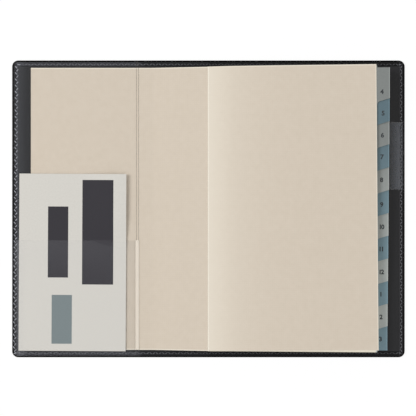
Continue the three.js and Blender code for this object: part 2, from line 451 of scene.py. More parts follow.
@dataclass(frozen=True)
class ClearFilm(Finish):
    """Plasticised PVC film, calendered clear, a little milky where it is welded or cut."""

    colour: str = "#a4a9b2"
    cover: float = 0.006
    mottle: float = 0.25
    weld_glow: float = 0.028
    weld_rise: tuple[float, float] = (2.3, 2.9)
    weld_fall: tuple[float, float] = (9.0, 3.2)
    mouth: float = POCKET.head
    mouth_glow: float = 0.0
    mouth_reach: float = 24.0
    veil_size: float = 20.0
    ripple_size: float = 6.67
    ripple_depth: float = 0.1

    def shader(self, tree: bpy.types.NodeTree) -> bpy.types.NodeSocket:
        """Adds the film: nearly clear, with a thin pale veil over what lies under it.

        The veil thickens beside the weld and at a cut mouth, where the film is strained.

        Args:
            tree: The material's empty node tree.

        Returns:
            The film's shader.
        """
        place = millimetres(tree, Grain.OBJECT)
        axes = add_node(tree, "ShaderNodeSeparateXYZ", None, {0: place})
        reach = add_node(tree, "ShaderNodeMath", {"operation": "ABSOLUTE"},
                         {0: axes.outputs["X"]}).outputs[0]
        inset = add_node(tree, "ShaderNodeMath", {"operation": "SUBTRACT"},
                         {0: SKIN.right, 1: reach}).outputs[0]
        swells = [add_node(tree, "ShaderNodeMapRange", {"interpolation_type": "SMOOTHSTEP"},
                           {"Value": value, "From Min": start, "From Max": end,
                            "To Max": peak}).outputs[0]
                  for value, (start, end), peak in (
                      (inset, self.weld_rise, 1.0), (inset, self.weld_fall, 1.0),
                      (axes.outputs["Y"], (self.mouth - self.mouth_reach, self.mouth),
                       self.mouth_glow))]
        strained = add_node(tree, "ShaderNodeMath", {"operation": "MULTIPLY"},
                            {0: swells[0], 1: swells[1]}).outputs[0]
        veil = add_node(tree, "ShaderNodeTexNoise", None,
                        {"Vector": place, "Scale": 1 / self.veil_size, "Detail": 3.0})
        cover = add_node(tree, "ShaderNodeMapRange", None,
                         {"Value": veil.outputs["Fac"],
                          "To Min": self.cover * (1 - self.mottle),
                          "To Max": self.cover * (1 + self.mottle)}).outputs[0]
        welded = add_node(tree, "ShaderNodeMath", {"operation": "MULTIPLY_ADD"},
                          {0: strained, 1: self.weld_glow, 2: cover}).outputs[0]
        veiled = add_node(tree, "ShaderNodeMath", {"operation": "ADD"},
                          {0: welded, 1: swells[2]}).outputs[0]
        ripple = add_node(tree, "ShaderNodeTexNoise", None,
                          {"Vector": place, "Scale": 1 / self.ripple_size})
        bump = add_node(tree, "ShaderNodeBump", None,
                        {"Strength": 0.15, "Distance": self.ripple_depth * MM,
                         "Height": ripple.outputs["Fac"]})
        return add_node(tree, "ShaderNodeBsdfPrincipled", None,
                        {"Base Color": linear_colour(self.colour), "Roughness": 0.25,
                         "Alpha": veiled, "Normal": bump.outputs[0],
                         "IOR": FILM_IOR}).outputs[0]


@dataclass(frozen=True)
class LaidPaper(Finish):
    """Cream laid endpaper, machine made, with the faint ribs of the dandy roll."""

    colour: str = "#d7cbbb"
    fleck: str = "#cabdab"
    fleck_range: tuple[float, float] = (0.35, 0.9)
    fleck_share: float = 0.45
    # Painted light: the sheet is paler in this colour beside its fold, where it rises towards the
    # lamp
    fold: str = "#f1eadb"
    fold_light_share: float = 0.0
    fold_light_reach: float = 13.0
    # Painted highlight along the cut edges, where the paper's thickness catches the light
    cut_edge: float = 71.95
    fore_edge: float = 100.0
    edge_highlight_share: float = 0.6
    lean: float = 0.0
    rib: float = 1.1
    rib_share: float = 0.12
    rib_depth: float = 0.03
    fibre_size: float = 2.86
    grain: Grain = Grain.LAID

    def shader(self, tree: bpy.types.NodeTree) -> bpy.types.NodeSocket:
        """Adds the paper: matt cream with close ribs both ways and soft fibres.

        The ribs are drawn 1.1 mm apart, coarser than the real half millimetre, so that they show.

        Args:
            tree: The material's empty node tree.

        Returns:
            The paper's shader.
        """
        place = millimetres(tree, self.grain)
        ribs = [add_node(tree, "ShaderNodeTexWave", {"bands_direction": way},
                         {"Vector": place, "Scale": wave_scale(self.rib), "Distortion": bend,
                          "Detail": 2.0, "Detail Scale": wander}).outputs["Fac"]
                for way, bend, wander in (("X", 1.2, 0.4), ("Y", 2.0, 0.3))]
        weave = add_node(tree, "ShaderNodeMath", {"operation": "ADD"},
                         {0: ribs[0], 1: ribs[1]}).outputs[0]
        fibre = add_node(tree, "ShaderNodeTexNoise", None,
                         {"Vector": place, "Scale": 1 / self.fibre_size, "Detail": 6.0,
                          "Roughness": 0.65})
        faint = add_node(tree, "ShaderNodeMath", {"operation": "MULTIPLY_ADD"},
                         {0: weave, 1: self.rib_share, 2: fibre.outputs["Fac"]}).outputs[0]
        flecked = add_node(tree, "ShaderNodeMapRange", None,
                           {"Value": faint, "From Min": self.fleck_range[0],
                            "From Max": self.fleck_range[1],
                            "To Max": self.fleck_share}).outputs[0]
        colour = linear_colour(self.colour)
        for share, over in ((flecked, self.fleck), (self._painted_paleness(tree, place), self.fold)):
            colour = add_node(tree, "ShaderNodeMix", {"data_type": "RGBA"},
                              {0: share, 6: colour, 7: linear_colour(over)}).outputs[2]
        bump = add_node(tree, "ShaderNodeBump", None,
                        {"Strength": 0.12, "Distance": self.rib_depth * MM, "Height": weave})
        return add_node(tree, "ShaderNodeBsdfPrincipled", None,
                        {"Base Color": colour, "Roughness": 0.85, "Normal": bump.outputs[0],
                         "IOR": PAPER_IOR, "Specular IOR Level": 0.2}).outputs[0]

    def _painted_paleness(self, tree: bpy.types.NodeTree,
              place: bpy.types.NodeSocket) -> bpy.types.NodeSocket:
        """Adds where the sheet is paler: painted light beside its fold and a painted highlight at
        its cut edges.

        Args:
            tree: The material's node tree.
            place: The place on the sheet in millimetres.

        Returns:
            How pale the sheet is.
        """
        axes = add_node(tree, "ShaderNodeSeparateXYZ", None, {0: place})
        across, along = axes.outputs["X"], axes.outputs["Y"]
        away = add_node(tree, "ShaderNodeMath", {"operation": "MULTIPLY"},
                        {0: across, 1: -1 / self.fold_light_reach}).outputs[0]
        near_fold = add_node(tree, "ShaderNodeMath", {"operation": "EXPONENT"},
                         {0: away}).outputs[0]
        pale = add_node(tree, "ShaderNodeMath", {"operation": "MULTIPLY", "use_clamp": True},
                        {0: near_fold, 1: self.fold_light_share}).outputs[0]
        level = add_node(tree, "ShaderNodeMath", {"operation": "MULTIPLY_ADD"},
                         {0: across, 1: -self.lean, 2: along}).outputs[0]
        height = add_node(tree, "ShaderNodeMath", {"operation": "ABSOLUTE"},
                          {0: level}).outputs[0]
        upright = add_node(tree, "ShaderNodeMath", {"operation": "MULTIPLY_ADD"},
                           {0: along, 1: self.lean, 2: across}).outputs[0]
        for reach, edge in ((height, self.cut_edge), (upright, self.fore_edge)):
            cut = add_node(tree, "ShaderNodeMath", {"operation": "GREATER_THAN"},
                           {0: reach, 1: edge}).outputs[0]
            share = add_node(tree, "ShaderNodeMath", {"operation": "MULTIPLY"},
                             {0: cut, 1: self.edge_highlight_share}).outputs[0]
            pale = add_node(tree, "ShaderNodeMath", {"operation": "MAXIMUM"},
                            {0: pale, 1: share}).outputs[0]
        return pale


@dataclass(frozen=True)
class IndexPaper(Finish):
    """Uncoated text paper, offset printed with rules and one step of the fore-edge index."""

    tint: Tint | None
    paper: str = "#e6dfcd"
    edge: str = "#ddd5c2"
    # Painted shade in the gaps between the sheets on the stack's sides
    gap: str = "#b5ab97"
    rule: str = "#a9b0b0"
    rule_pitch: float = 6.5
    rule_half: float = 0.09
    rule_start: float = 7.5
    rule_end: float = 81.5
    strip_start: float = 84.6
    strip_end: float = 91.7
    lip_start: float = 91.25
    lip_tone: float = 0.5
    # Painted light: the ink is darker on the upper steps and paler towards the foot, offsetting
    # the flyleaf's shadow on the deeper steps
    head_painted_shade: float = 0.82
    foot_painted_light: float = 1.42
    painted_light_fade: tuple[float, float] = (35.0, -45.0)
    facing_up: float = 0.5
    sheet_pitch: float = 0.22
    sheet_draw: float = 0.02
    sheet_range: tuple[float, float] = (0.42, 0.6)
    fibre_size: float = 1.25

    def shader(self, tree: bpy.types.NodeTree) -> bpy.types.NodeSocket:
        """Adds a month: ruled pages, an inked strip on top and sheet lines on its sides.

        Args:
            tree: The material's empty node tree.

        Returns:
            The section's shader.
        """
        place = millimetres(tree, Grain.OBJECT)
        axes = add_node(tree, "ShaderNodeSeparateXYZ", None, {0: place})
        facing = add_node(tree, "ShaderNodeSeparateXYZ", None,
                          {0: add_node(tree, "ShaderNodeTexCoord").outputs["Normal"]})
        upright = add_node(tree, "ShaderNodeMath", {"operation": "ABSOLUTE"},
                           {0: facing.outputs["Z"]}).outputs[0]
        page = add_node(tree, "ShaderNodeMath", {"operation": "GREATER_THAN"},
                        {0: upright, 1: self.facing_up}).outputs[0]
        printed = self._ruled(tree, axes)
        if self.tint is not None:
            printed = self._inked(tree, axes, printed, self.tint)
        whole = add_node(tree, "ShaderNodeMix", {"data_type": "RGBA"},
                         {0: page, 6: self._stacked(tree, place), 7: printed}).outputs[2]
        colour = mottled(tree, whole, {"Vector": place, "Scale": 1 / self.fibre_size,
                                       "Detail": 5.0}, low=0.93, high=1.07)
        return add_node(tree, "ShaderNodeBsdfPrincipled", None,
                        {"Base Color": colour, "Roughness": 0.8, "IOR": PAPER_IOR,
                         "Specular IOR Level": 0.2}).outputs[0]

    def _stacked(self, tree: bpy.types.NodeTree,
                 place: bpy.types.NodeSocket) -> bpy.types.NodeSocket:
        """Adds the sides of the stack, with painted shade in the gaps between its sheets.

        The sheets are drawn 0.22 mm apart, about twice their thickness, so that they show.

        Args:
            tree: The material's node tree.
            place: The place on the section in millimetres.

        Returns:
            The colour of the sides.
        """
        drawn = add_node(tree, "ShaderNodeVectorMath", {"operation": "MULTIPLY"},
                         {0: place, 1: (self.sheet_draw, self.sheet_draw,
                                        1 / self.sheet_pitch)}).outputs[0]
        sheets = add_node(tree, "ShaderNodeTexNoise", None,
                          {"Vector": drawn, "Scale": 1.0, "Detail": 1.0})
        stack = add_node(tree, "ShaderNodeMapRange", None,
                         {"Value": sheets.outputs["Fac"], "From Min": self.sheet_range[0],
                          "From Max": self.sheet_range[1]}).outputs[0]
        return add_node(tree, "ShaderNodeMix", {"data_type": "RGBA"},
                        {0: stack, 6: linear_colour(self.edge),
                         7: linear_colour(self.gap)}).outputs[2]

    def _ruled(self, tree: bpy.types.NodeTree, axes: bpy.types.Node) -> bpy.types.NodeSocket:
        """Adds the page with its printed rules.

        Args:
            tree: The material's node tree.
            axes: The node that gives X and Y in millimetres.

        Returns:
            The page's colour.
        """
        row = add_node(tree, "ShaderNodeMath", {"operation": "PINGPONG"},
                       {0: axes.outputs["Y"], 1: self.rule_pitch / 2}).outputs[0]
        line = add_node(tree, "ShaderNodeMath", {"operation": "LESS_THAN"},
                        {0: row, 1: self.rule_half}).outputs[0]
        inside = add_node(tree, "ShaderNodeMath", {"operation": "COMPARE"},
                          {0: axes.outputs["X"], 1: (self.rule_start + self.rule_end) / 2,
                           2: (self.rule_end - self.rule_start) / 2}).outputs[0]
        rules = add_node(tree, "ShaderNodeMath", {"operation": "MULTIPLY"},
                         {0: line, 1: inside}).outputs[0]
        return add_node(tree, "ShaderNodeMix", {"data_type": "RGBA"},
                        {0: rules, 6: linear_colour(self.paper),
                         7: linear_colour(self.rule)}).outputs[2]

    def _inked(self, tree: bpy.types.NodeTree, axes: bpy.types.Node,
               page: bpy.types.NodeSocket, tint: Tint) -> bpy.types.NodeSocket:
        """Adds the index's ink, paler at its outer edge, and painted light that makes it paler
        towards the foot.

        Args:
            tree: The material's node tree.
            axes: The node that gives X and Y in millimetres.
            page: The page's colour beside the strip.
            tint: The ink's tint.

        Returns:
            The colour of the page and its strip.
        """
        strip = add_node(tree, "ShaderNodeMath", {"operation": "COMPARE"},
                         {0: axes.outputs["X"], 1: (self.strip_start + self.strip_end) / 2,
                          2: (self.strip_end - self.strip_start) / 2}).outputs[0]
        # Painted light, paler towards the foot, where the flyleaf's shadow falls on the deeper
        # steps
        painted_light = add_node(tree, "ShaderNodeMapRange", None,
                        {"Value": axes.outputs["Y"], "From Min": self.painted_light_fade[0],
                         "From Max": self.painted_light_fade[1], "To Min": self.head_painted_shade,
                         "To Max": self.foot_painted_light}).outputs[0]
        lip = add_node(tree, "ShaderNodeMath", {"operation": "GREATER_THAN"},
                       {0: axes.outputs["X"], 1: self.lip_start}).outputs[0]
        lip_and_painted_light = add_node(tree, "ShaderNodeMath", {"operation": "MULTIPLY_ADD"},
                          {0: lip, 1: self.lip_tone, 2: painted_light}).outputs[0]
        ink = add_node(tree, "ShaderNodeVectorMath", {"operation": "SCALE"},
                       {0: linear_colour(tint.value)[:3], "Scale": lip_and_painted_light}).outputs[0]
        return add_node(tree, "ShaderNodeMix", {"data_type": "RGBA"},
                        {0: strip, 6: page, 7: ink}).outputs[2]


@dataclass(frozen=True)
class PrintedBlock:
    """A plain printed block on the card, in millimetres from the card's middle."""

    left: float
    right: float
    foot: float
    head: float
    colour: str


@dataclass(frozen=True)
class PrintedCard(Finish):
    """Uncoated index card, offset printed with plain blocks."""

    centre: tuple[float, float]
    turn: float
    blocks: tuple[PrintedBlock, ...]
    stock: str = "#d4d1ca"
    fibre_size: float = 0.833

    def shader(self, tree: bpy.types.NodeTree) -> bpy.types.NodeSocket:
        """Adds the card: off-white stock, a little mottled, with flat dense ink on top.

        Args:
            tree: The material's empty node tree.

        Returns:
            The card's shader.
        """
        place = millimetres(tree, Grain.OBJECT)
        turned = add_node(tree, "ShaderNodeMapping", {"vector_type": "TEXTURE"},
                          {"Vector": place, "Location": (*self.centre, 0.0),
                           "Rotation": (0.0, 0.0, self.turn)}).outputs[0]
        axes = add_node(tree, "ShaderNodeSeparateXYZ", None, {0: turned})
        colour = linear_colour(self.stock)
        for block in self.blocks:
            spans = [add_node(tree, "ShaderNodeMath", {"operation": "COMPARE"},
                              {0: axes.outputs[axis], 1: (low + high) / 2,
                               2: (high - low) / 2}).outputs[0]
                     for axis, low, high in (("X", block.left, block.right),
                                             ("Y", block.foot, block.head))]
            inside = add_node(tree, "ShaderNodeMath", {"operation": "MULTIPLY"},
                              {0: spans[0], 1: spans[1]}).outputs[0]
            colour = add_node(tree, "ShaderNodeMix", {"data_type": "RGBA"},
                              {0: inside, 6: colour, 7: linear_colour(block.colour)}).outputs[2]
        printed = mottled(tree, colour, {"Vector": place, "Scale": 1 / self.fibre_size,
                                         "Detail": 5.0}, low=0.93, high=1.07)
        return add_node(tree, "ShaderNodeBsdfPrincipled", None,
                        {"Base Color": printed, "Roughness": 0.6, "IOR": PAPER_IOR,
                         "Specular IOR Level": 0.15}).outputs[0]


@dataclass(frozen=True)
class FibreStuff(Finish):
    """A plain fibrous or dried stuff, such as millboard, hide glue or printing ink."""

    colour: str
    dark: str
    size: float
    roughness: float
    relief: float = 0.03

    def shader(self, tree: bpy.types.NodeTree) -> bpy.types.NodeSocket:
        """Adds the stuff: two close colours mixed in soft specks, with a slight relief.

        Args:
            tree: The material's empty node tree.

        Returns:
            The stuff's shader.
        """
        speck = add_node(tree, "ShaderNodeTexNoise", None,
                         {"Vector": millimetres(tree, Grain.OBJECT), "Scale": 1 / self.size,
                          "Detail": 6.0, "Roughness": 0.7}).outputs["Fac"]
        colour = add_node(tree, "ShaderNodeMix", {"data_type": "RGBA"},
                          {0: speck, 6: linear_colour(self.colour),
                           7: linear_colour(self.dark)}).outputs[2]
        bump = add_node(tree, "ShaderNodeBump", None,
                        {"Strength": 0.4, "Distance": self.relief * MM, "Height": speck})
        return add_node(tree, "ShaderNodeBsdfPrincipled", None,
                        {"Base Color": colour, "Roughness": self.roughness,
                         "Normal": bump.outputs[0], "IOR": PAPER_IOR}).outputs[0]


@dataclass(frozen=True)
class CottonMull(Finish):
    """Open woven cotton, sized with glue, that holds the sewn sections together."""

    colour: str = "#e6e1d2"
    hole: str = "#9f967f"
    thread_pitch: float = 1.0
    thread_depth: float = 0.08

    def shader(self, tree: bpy.types.NodeTree) -> bpy.types.NodeSocket:
        """Adds the mull: a stiff pale net, its threads drawn one millimetre apart to show.

        Args:
            tree: The material's empty node tree.

        Returns:
            The mull's shader.
        """
        place = millimetres(tree, Grain.OBJECT)
        threads = [add_node(tree, "ShaderNodeTexWave", {"bands_direction": way},
                            {"Vector": place,
                             "Scale": wave_scale(self.thread_pitch)}).outputs["Fac"]
                   for way in ("Y", "Z")]
        net = add_node(tree, "ShaderNodeMath", {"operation": "MAXIMUM"},
                       {0: threads[0], 1: threads[1]}).outputs[0]
        colour = add_node(tree, "ShaderNodeMix", {"data_type": "RGBA"},
                          {0: net, 6: linear_colour(self.hole),
                           7: linear_colour(self.colour)}).outputs[2]
        bump = add_node(tree, "ShaderNodeBump", None,
                        {"Strength": 0.6, "Distance": self.thread_depth * MM, "Height": net})
        return add_node(tree, "ShaderNodeBsdfPrincipled", None,
                        {"Base Color": colour, "Roughness": 0.95, "Normal": bump.outputs[0],
                         "IOR": PAPER_IOR}).outputs[0]


@dataclass(frozen=True)
class StudioPaper(Finish):
    """White background paper that shows white to the camera and keeps a soft shadow."""

    colour: str = "#f4f4f4"
    lift: float = 0.9
    white: float = 1.02

    def shader(self, tree: bpy.types.NodeTree) -> bpy.types.NodeSocket:
        """Adds the floor: mostly plain white to camera, gloss and clear film alike.

        Args:
            tree: The material's empty node tree.

        Returns:
            The floor's shader.
        """
        path = add_node(tree, "ShaderNodeLightPath")
        shown = path.outputs["Is Camera Ray"]
        for way in ("Is Transmission Ray", "Is Glossy Ray"):
            shown = add_node(tree, "ShaderNodeMath", {"operation": "MAXIMUM"},
                             {0: shown, 1: path.outputs[way]}).outputs[0]
        share = add_node(tree, "ShaderNodeMath", {"operation": "MULTIPLY"},
                         {0: shown, 1: self.lift}).outputs[0]
        matt = add_node(tree, "ShaderNodeBsdfDiffuse", None,
                        {"Color": linear_colour(self.colour)})
        white = add_node(tree, "ShaderNodeEmission", None, {"Strength": self.white})
        return add_node(tree, "ShaderNodeMixShader", None,
                        {0: share, 1: matt.outputs[0], 2: white.outputs[0]}).outputs[0]


def show(mesh: bpy.types.Mesh, name: str) -> bpy.types.Object:
    """Puts a mesh in the scene at the origin and reports it.

    Args:
        mesh: The finished mesh, in metres.
        name: The piece's name.

    Returns:
        The new object.
    """
    piece = bpy.data.objects.new(name, mesh)
    bpy.context.scene.collection.objects.link(piece)
    LOG.info("%s: %d faces", name, len(mesh.polygons))
    return piece


def piece_from(bm: bmesh.types.BMesh, name: str, materials: list[bpy.types.Material],
               smooth: bool = False) -> bpy.types.Object:
    """Makes an object in metres from a mesh in millimetres, and notes how it was laid.

    Args:
        bm: The mesh in millimetres, which is freed.
        name: The piece's name.
        materials: The materials of its slots.
        smooth: Whether its faces are shaded smooth.

    Returns:
        The new object, at the origin.
    """
    bmesh.ops.scale(bm, vec=(MM, MM, MM), verts=bm.verts)
    mesh = bpy.data.meshes.new(name)
    for face in bm.faces:
        face.smooth = smooth
    for edge in bm.edges:
        edge.smooth = edge.is_manifold and edge.calc_face_angle(0.0) < SHARP_ANGLE
    bm.to_mesh(mesh)
    bm.free()
    laid = mesh.attributes.new(Grain.LAID.value, "FLOAT_VECTOR", "POINT")
    laid.data.foreach_set("vector", [c for vert in mesh.vertices for c in vert.co])
    for material in materials:
        mesh.materials.append(material)
    return show(mesh, name)


def dress(node: str, material: bpy.types.Material) -> None:
    """Gives a CAD node its material.

    Args:
        node: The node's name.
        material: The material for all of its slots.
    """
    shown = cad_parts[node]
    if not shown.data.materials:
        shown.data.materials.append(material)
    for slot in shown.material_slots:
        slot.material = material
    LOG.info("%s: dressed in %s", node, material.name)


def slab(left: float, right: float, foot: float, head: float, low: float,
         high: float) -> bmesh.types.BMesh:
    """Starts a mesh as a rectangular slab.

    Args:
        left: Lowest X.
        right: Highest X.
        foot: Lowest Y.
        head: Highest Y.
        low: Lowest Z.
        high: Highest Z.

    Returns:
        The mesh, in millimetres.
    """
    bm = bmesh.new()
    middle = Vector(((left + right) / 2, (foot + head) / 2, (low + high) / 2))
    reach = Matrix.Diagonal((right - left, head - foot, high - low, 1.0))
    bmesh.ops.create_cube(bm, size=1.0, matrix=Matrix.Translation(middle) @ reach)
    return bm


def edges_where(bm: bmesh.types.BMesh,
                test: Callable[[Vector, Vector], bool]) -> list[bmesh.types.BMEdge]:
    """Picks the edges whose two ends pass a test."""
    return [edge for edge in bm.edges if test(edge.verts[0].co, edge.verts[1].co)]


def round_edges(bm: bmesh.types.BMesh, edges: list[bmesh.types.BMEdge], radius: float,
                steps: int) -> None:
    """Rounds edges.

    Args:
        bm: The mesh.
        edges: The edges to round.
        radius: How far the rounding reaches, in millimetres.
        steps: How many faces it gets.
    """
    bmesh.ops.bevel(bm, geom=edges, offset=radius, segments=steps, profile=0.5,
                    affect="EDGES", offset_type="OFFSET", material=-1)


def cut_across(bm: bmesh.types.BMesh, places: list[float], axis: int = 0) -> None:
    """Cuts a mesh across an axis, so that it can bend or change its finish there.

    Args:
        bm: The mesh.
        places: Where to cut, in millimetres.
        axis: The axis that the cuts stand on.
    """
    way = Vector([1.0 if i == axis else 0.0 for i in range(3)])
    for place in places:
        bmesh.ops.bisect_plane(bm, geom=bm.verts[:] + bm.edges[:] + bm.faces[:],
                               plane_co=way * place, plane_no=way, dist=CUT_SNAP)


def steps_between(start: float, end: float, count: int) -> list[float]:
    """Gives evenly spaced places strictly between two ends."""
    return [start + (end - start) * (i + 1) / (count + 1) for i in range(count)]


def flip_to(bm: bmesh.types.BMesh, side: Side) -> None:
    """Mirrors a mesh made for the back cover where it is for the front cover.

    Args:
        bm: The mesh.
        side: The half that it is for.
    """
    if side is Side.FRONT:
        bmesh.ops.scale(bm, vec=(-1.0, 1.0, 1.0), verts=bm.verts)
        bmesh.ops.recalc_face_normals(bm, faces=bm.faces)


def sheet_mesh(left: float, right: float, foot: float, head: float, columns: int, rows: int,
               thickness: float, height: Callable[[float, float], float]) -> bmesh.types.BMesh:
    """Makes a thin sheet that follows a height over its plan.

    Args:
        left: Lowest X.
        right: Highest X.
        foot: Lowest Y.
        head: Highest Y.
        columns: Faces along X.
        rows: Faces along Y.
        thickness: The sheet's thickness, measured downwards.
        height: Gives the top face's Z at a place.

    Returns:
        A closed mesh, in millimetres.
    """
    bm = bmesh.new()
    bmesh.ops.create_grid(bm, x_segments=columns, y_segments=rows, size=0.5)
    for vert in bm.verts:
        x = left + (vert.co.x + 0.5) * (right - left)
        y = foot + (vert.co.y + 0.5) * (head - foot)
        vert.co = (x, y, height(x, y) - thickness)
    bmesh.ops.recalc_face_normals(bm, faces=bm.faces)
    if sum(face.normal.z for face in bm.faces) < 0:
        bmesh.ops.reverse_faces(bm, faces=bm.faces)
    upper = bmesh.ops.duplicate(bm, geom=bm.verts[:] + bm.edges[:] + bm.faces[:])
    faces = {item for item in upper["geom"] if isinstance(item, bmesh.types.BMFace)}
    verts = [item for item in upper["geom"] if isinstance(item, bmesh.types.BMVert)]
    bmesh.ops.translate(bm, vec=(0.0, 0.0, thickness), verts=verts)
    bmesh.ops.reverse_faces(bm, faces=[face for face in bm.faces if face not in faces])
    rims = [edge for edge in bm.edges if edge.is_boundary]
    bmesh.ops.bridge_loops(bm, edges=rims)
    bmesh.ops.recalc_face_normals(bm, faces=bm.faces)
    return bm


def ease(value: float) -> float:
    """Goes smoothly from 0 to 1 as the value does."""
    held = min(max(value, 0.0), 1.0)
    return held * held * (3 - 2 * held)


def through(places: tuple[tuple[float, float], ...], at: float) -> float:
    """Reads a smooth curve through places along one axis.

    Args:
        places: Pairs of position and height, in rising order.
        at: The position to read.

    Returns:
        The height there.
    """
    if at <= places[0][0]:
        return places[0][1]
    for index, ((x0, z0), (x1, z1)) in enumerate(zip(places, places[1:])):
        if at <= x1:
            before = places[max(index - 1, 0)]
            after = places[min(index + 2, len(places) - 1)]
            slope0 = (z1 - before[1]) / (x1 - before[0])
            slope1 = (after[1] - z0) / (after[0] - x0)
            span, part = x1 - x0, (at - x0) / (x1 - x0)
            return ((2 * part ** 3 - 3 * part ** 2 + 1) * z0
                    + (part ** 3 - 2 * part ** 2 + part) * span * slope0
                    + (3 * part ** 2 - 2 * part ** 3) * z1
                    + (part ** 3 - part ** 2) * span * slope1)
    return places[-1][1]


@dataclass
class Cover:
    """The welded vinyl cover: two panels that meet in the middle of the spine.

    Both halves are made as the back one, to the right of the gutter.
    """

    half_width: float = SKIN.right
    half_height: float = SKIN.head
    thickness: float = SKIN.high
    skin: float = 0.6
    lining: float = 0.4
    lining_round: float = 0.12
    corner: float = 3.2
    edge_round: float = 0.75
    foot_round: float = 0.6
    rim: float = 3.0
    rim_gap: float = 0.06
    rim_outer: float = 1.0
    ridge_width: float = 0.35
    ridge_slope: float = 0.12
    ridge_height: float = 0.06
    middle_gap: float = 0.03
    middle_reach: float = 3.5
    cuts_start: float = 0.6
    cuts_end: float = 7.0
    cuts: int = 20
    bend_start: float = 5.6
    bend_end: float = 1.4
    stitch_inset: float = 2.2
    side_inset: float = 1.95
    stitch_pitch: float = 1.6
    stitch_size: tuple[float, float, float] = (0.8, 0.24, 0.12)
    stitch_slant: float = 32.0
    front_slant: float = 40.0
    front_lean: float = 0.6
    front_swing: float = 0.36

    def build(self) -> None:
        """Builds and dresses both halves of the cover."""
        rim = GrainedVinyl(shine=0.03).build("welded_pvc_rim")
        thread = MouldedStitch().build("embossed_pvc_stitch")
        sheet = SmoothVinyl().build("satin_pvc_lining")
        board = FibreStuff("#8a8378", "#6d675e", size=0.4, roughness=0.9).build("grey_millboard")
        vinyls = {
            Side.FRONT: GrainedVinyl(border="#36363b", bare_border="#1f1f22",
                                     side_border="#252528", ridge="#424348", ridge_reach=0.4,
                                     ridge_foot=0.0),
            # The back's paler side border is painted light, where the lamp from the left catches
            # the rim
            Side.BACK: GrainedVinyl(border="#0b0b0c", bare_border="#0f0f11",
                                    side_border="#1a1a1d", ridge="#38383b")}
        for side, vinyl in vinyls.items():
            label = side.name.lower()
            self._add_skin(side, label, [vinyl.build(f"{label}_grained_pvc"), thread, rim])
            self._add_lining(side, label, sheet)
            dress(f"{label}_cover_board", board)

    def _add_skin(self, side: Side, label: str, finishes: list[bpy.types.Material]) -> None:
        """Adds one half of the outer skin, with its recess, ridge and stitches.

        Args:
            side: Which half.
            label: The half's name.
            finishes: The materials of the skin, the stitches and the rounded rim.
        """
        bm = self._shell()
        self._sink_recess(bm)
        cut_across(bm, steps_between(self.cuts_start, self.cuts_end, self.cuts))
        self._press_stitches(bm, side)
        flip_to(bm, side)
        piece = piece_from(bm, f"{label}_cover_vinyl", finishes)
        self._bend(piece, side)
        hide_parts(f"{label}_cover_skin",
                    *(["spine_skin"] if side is Side.BACK else []))

    def _shell(self) -> bmesh.types.BMesh:
        """Makes the outside of a half, rounded at its corners and rim.

        Returns:
            The mesh, its rounded faces in the rim's material.
        """
        bm = slab(0.0, self.half_width, -self.half_height, self.half_height, 0.0, self.thickness)
        wide = self.half_width - TINY
        round_edges(bm, edges_where(bm, lambda a, b: a.x > wide and b.x > wide
                                    and abs(a.z - b.z) > TINY), self.corner, steps=10)
        for level, radius, steps in ((self.thickness, self.edge_round, 4),
                                     (0.0, self.foot_round, 3)):
            round_edges(bm, edges_where(
                bm, lambda a, b, at=level: abs(a.z - at) < TINY and abs(b.z - at) < TINY
                and not (a.x < TINY and b.x < TINY)), radius, steps)
        for face in bm.faces:
            face.material_index = 2 if abs(face.normal.z) < LEVEL else 0
        return bm

    def _sink_recess(self, bm: bmesh.types.BMesh) -> None:
        """Raises the tool's ridge inside the rim and sinks the bed of the board behind it.

        The ridge runs round three sides only, so its fourth side is drawn to the middle.

        Args:
            bm: The mesh.
        """
        top = max((f for f in bm.faces if f.normal.z > LEVEL), key=lambda f: f.calc_area())
        flat = self.rim - self.edge_round - self.ridge_width
        crest = self.ridge_width - 2 * self.ridge_slope
        for width, rise in ((flat, 0.0), (self.ridge_slope, self.ridge_height), (crest, 0.0),
                            (self.ridge_slope, -self.ridge_height)):
            bmesh.ops.inset_region(bm, faces=[top], thickness=width, depth=rise,
                                   use_even_offset=True)
        for vert in top.verts:
            if vert.co.x < self.middle_reach:
                vert.co.x = self.middle_gap
        inner = [v for f in bm.faces if f.normal.z > RISING for v in f.verts
                 if v.co.x < self.middle_reach
                 and abs(v.co.y) < self.half_height - self.rim_outer]
        for vert in set(inner) - set(top.verts):
            vert.co.x = min(vert.co.x, self.middle_gap / 2)
        bed = bmesh.ops.extrude_discrete_faces(bm, faces=[top])["faces"]
        bmesh.ops.translate(bm, vec=(0.0, 0.0, self.skin - self.thickness),
                            verts=list({v for f in bed for v in f.verts}))

    def _press_stitches(self, bm: bmesh.types.BMesh, side: Side) -> None:
        """Adds the pressed stitches, which slant to one side and the other in turn.

        The column on the front half's outer side is steeper, leans and swings in and out.

        Args:
            bm: The mesh.
            side: Which half.
        """
        for index, (place, angle) in enumerate(self._stitch_places()):
            swap = 1 if index % 2 else -1
            steep = side is Side.FRONT and place.x > self.half_width - self.rim
            slant = self.front_slant if steep else self.stitch_slant
            if steep:
                lean = self.front_lean * place.y / self.half_height
                place.x -= lean + self.front_swing * swap
            turn = Matrix.Rotation(angle + math.radians(slant * swap), 4, "Z")
            size = Matrix.Diagonal((*self.stitch_size, 1.0))
            added = bmesh.ops.create_uvsphere(
                bm, u_segments=8, v_segments=4, radius=1.0,
                matrix=Matrix.Translation((place.x, place.y, self.thickness)) @ turn @ size)
            for face in {f for v in added["verts"] for f in v.link_faces}:
                face.material_index = 1

